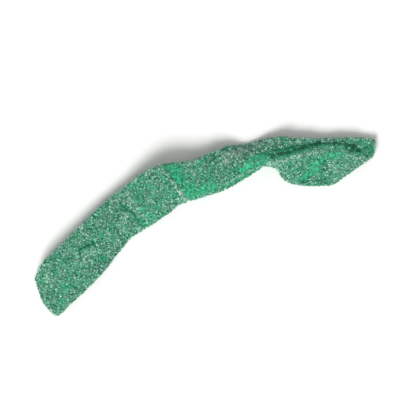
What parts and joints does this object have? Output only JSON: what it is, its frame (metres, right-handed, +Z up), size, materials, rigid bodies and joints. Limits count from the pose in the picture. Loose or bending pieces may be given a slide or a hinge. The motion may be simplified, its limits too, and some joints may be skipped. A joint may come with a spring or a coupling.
{
  "type": "sour belt candy",
  "caption": "Long flat ribbon of chewy green sour candy under a coat of sugar, lying loosely with a low hump, one side folded down and one corner cut off.",
  "frame": {"origin": "on the floor under the middle of the belt's overall box", "axes": "+X along the belt's long way towards the end with the cut corner, +Y towards its far side, +Z up"},
  "size_m": [0.1658, 0.043, 0.0151],
  "materials": {
    "sugared_candy": "chewy translucent green candy, matt under a coat of fine sugar crystals"
  },
  "bodies": {
    "root": {"sour_belt": "sugared_candy"}
  },
  "joints": []
}
